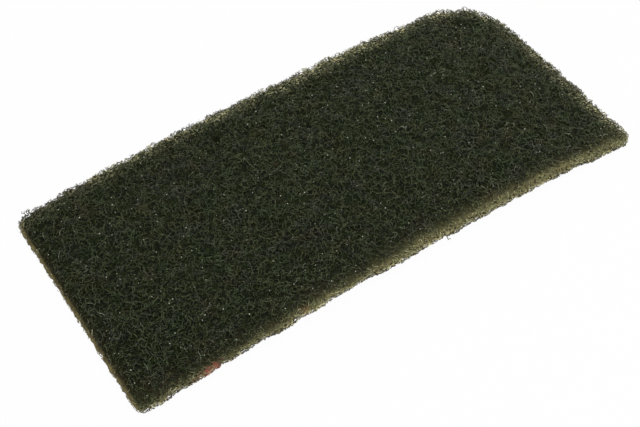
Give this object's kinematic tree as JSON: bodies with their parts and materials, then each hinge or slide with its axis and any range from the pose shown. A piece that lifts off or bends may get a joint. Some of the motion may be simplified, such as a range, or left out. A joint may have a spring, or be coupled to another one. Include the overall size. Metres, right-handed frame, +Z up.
{
  "type": "scouring pad",
  "caption": "Hand-sized scouring pad of dark green nonwoven web, cut square at its left end and rounded at its right end, resting slightly bowed on its ends.",
  "frame": {"origin": "on the floor, under the middle of the pad's footprint", "axes": "+X along the pad towards its rounded end, +Y across it towards the side with the larger corner radius, +Z up through its thickness"},
  "size_m": [0.2562, 0.1194, 0.0157],
  "materials": {
    "web": "rough open web of crimped dark green fibre under a thin resin coat, paler olive along its cut sides, with a small red stain and a few brown specks"
  },
  "bodies": {
    "root": {"pad": "web"}
  },
  "joints": []
}
